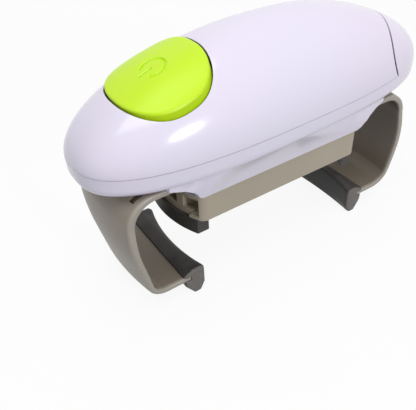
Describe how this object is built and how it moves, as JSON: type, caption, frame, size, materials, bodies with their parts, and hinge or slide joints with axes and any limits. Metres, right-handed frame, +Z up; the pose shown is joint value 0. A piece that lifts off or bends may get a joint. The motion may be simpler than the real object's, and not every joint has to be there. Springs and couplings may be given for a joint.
{
  "type": "jar opener",
  "caption": "Cordless jar opener: a domed body whose side arms clamp the jar while a turret beneath grips and twists the lid.",
  "frame": {"origin": "middle of the bounding box on the ground plane, where the jar pads stand", "axes": "+X along the body from the button end to the battery end, +Y across the body away from the front, +Z up"},
  "size_m": [0.2051, 0.0698, 0.1239],
  "materials": {
    "shell": "moulded, glossy, lavender white",
    "button": "moulded, glossy lime",
    "arm": "moulded, satin warm grey",
    "turret": "moulded, satin taupe",
    "grip": "soft, matt black",
    "frame": "moulded, natural",
    "gear": "moulded, natural acetal",
    "steel": "bright",
    "motor": "drawn can",
    "brass": "plain",
    "dark": "moulded black",
    "board": "green laminate",
    "cell": "plain printed-grey sleeve, unmarked",
    "red_lead": "insulated wire"
  },
  "bodies": {
    "housing": {"upper_shell": "shell", "lower_shell": "shell", "shell_screws": "steel", "battery_tray": "dark", "battery_cells": "cell", "contact_strips": "brass", "contact_springs": "steel", "button_spring": "steel", "start_switch": "dark", "gear_plate": "frame", "gear_plate_screws": "steel", "gear_bridge": "frame", "gear_bridge_screws": "steel", "gear_axles": "steel", "motor": "motor", "motor_cap": "dark", "motor_leads": "red_lead", "battery_leads": "red_lead", "switch_leads": "red_lead", "control_board": "board", "board_screws": "steel", "hub_bush": "brass", "upper_bush": "brass", "arm_clutch_spring": "steel"},
    "door": {"battery_door": "shell"},
    "start_button": {"button": "button"},
    "plunger": {"switch_plunger": "dark"},
    "turret": {"turret_housing": "turret", "turret_base": "turret", "turret_hub": "steel", "hub_screws": "steel", "output_gear": "gear", "hub_clip": "steel"},
    "lid_drive": {"lid_shaft": "steel", "lid_pinion": "gear", "lid_clutch_plate": "steel", "lid_clutch_spring": "steel", "lid_shaft_clip": "steel"},
    "left_lid_grip": {"left_lid_jaw": "turret", "left_lid_pad": "grip"},
    "right_lid_grip": {"right_lid_jaw": "turret", "right_lid_pad": "grip"},
    "arm_drive": {"arm_pinion": "gear"},
    "left_jar_grip": {"left_arm": "arm", "left_arm_rack": "gear", "left_rack_screws": "steel", "left_jar_pad": "grip"},
    "right_jar_grip": {"right_arm": "arm", "right_arm_rack": "gear", "right_rack_screws": "steel", "right_jar_pad": "grip"},
    "third_gear": {"third_gear": "gear"},
    "second_gear": {"second_gear": "gear"},
    "first_gear": {"first_gear": "gear"},
    "rotor": {"motor_shaft": "steel", "motor_pinion": "brass"}
  },
  "joints": [
    {"name": "button_press", "type": "slide", "parent": "housing", "child": "start_button", "axis": [0.309, 0, -0.9511], "range_m": [0, 0.002], "stiffness_N_per_m": 600, "springref_m": -0.001, "deforming": ["button_spring"]},
    {"name": "plunger_press", "type": "slide", "parent": "housing", "child": "plunger", "axis": [0.309, 0, -0.9511], "range_m": [0, 0.002]},
    {"name": "battery_door_slide", "type": "slide", "parent": "housing", "child": "door", "axis": [1, 0, 0], "range_m": [0, 0.035]},
    {"name": "left_arm_slide", "type": "slide", "parent": "housing", "child": "left_jar_grip", "axis": [1, 0, 0], "range_m": [-0.008, 0.023]},
    {"name": "right_arm_slide", "type": "slide", "parent": "housing", "child": "right_jar_grip", "axis": [-1, 0, 0], "range_m": [-0.008, 0.023]},
    {"name": "arm_pinion_turn", "type": "hinge", "parent": "housing", "child": "arm_drive", "pos_m": [-0.0055, 0, 0.065], "axis": [0, 0, 1], "range_deg": [-46, 132.5]},
    {"name": "turret_spin", "type": "hinge", "parent": "housing", "child": "turret", "pos_m": [-0.0055, 0, 0.051], "axis": [0, 0, 1], "continuous": true},
    {"name": "left_lid_slide", "type": "slide", "parent": "turret", "child": "left_lid_grip", "axis": [1, 0, 0], "range_m": [0, 0.022]},
    {"name": "right_lid_slide", "type": "slide", "parent": "turret", "child": "right_lid_grip", "axis": [-1, 0, 0], "range_m": [0, 0.022]},
    {"name": "lid_pinion_turn", "type": "hinge", "parent": "turret", "child": "lid_drive", "pos_m": [-0.0055, 0, 0.05], "axis": [0, 0, 1], "range_deg": [-75, 0]},
    {"name": "third_gear_turn", "type": "hinge", "parent": "housing", "child": "third_gear", "pos_m": [0.01289, -0.01543, 0.081], "axis": [0, 0, 1], "continuous": true},
    {"name": "second_gear_turn", "type": "hinge", "parent": "housing", "child": "second_gear", "pos_m": [0.01692, -0.00036, 0.081], "axis": [0, 0, 1], "continuous": true},
    {"name": "first_gear_turn", "type": "hinge", "parent": "housing", "child": "first_gear", "pos_m": [0.01935, 0.01343, 0.081], "axis": [0, 0, 1], "continuous": true},
    {"name": "motor_turn", "type": "hinge", "parent": "housing", "child": "rotor", "pos_m": [0.02397, 0.00074, 0.081], "axis": [0, 0, 1], "continuous": true}
  ],
  "couplings": [
    {"joint": "plunger_press", "follows": "button_press", "ratio": 1},
    {"joint": "right_arm_slide", "follows": "left_arm_slide", "ratio": 1},
    {"joint": "arm_pinion_turn", "follows": "left_arm_slide", "rad_per_m": 100},
    {"joint": "right_lid_slide", "follows": "left_lid_slide", "ratio": 1},
    {"joint": "lid_pinion_turn", "follows": "left_lid_slide", "rad_per_m": -58.824},
    {"joint": "third_gear_turn", "follows": "turret_spin", "ratio": -4},
    {"joint": "second_gear_turn", "follows": "turret_spin", "ratio": 16.8},
    {"joint": "first_gear_turn", "follows": "turret_spin", "ratio": -77.28},
    {"joint": "motor_turn", "follows": "turret_spin", "ratio": 340.03}
  ]
}
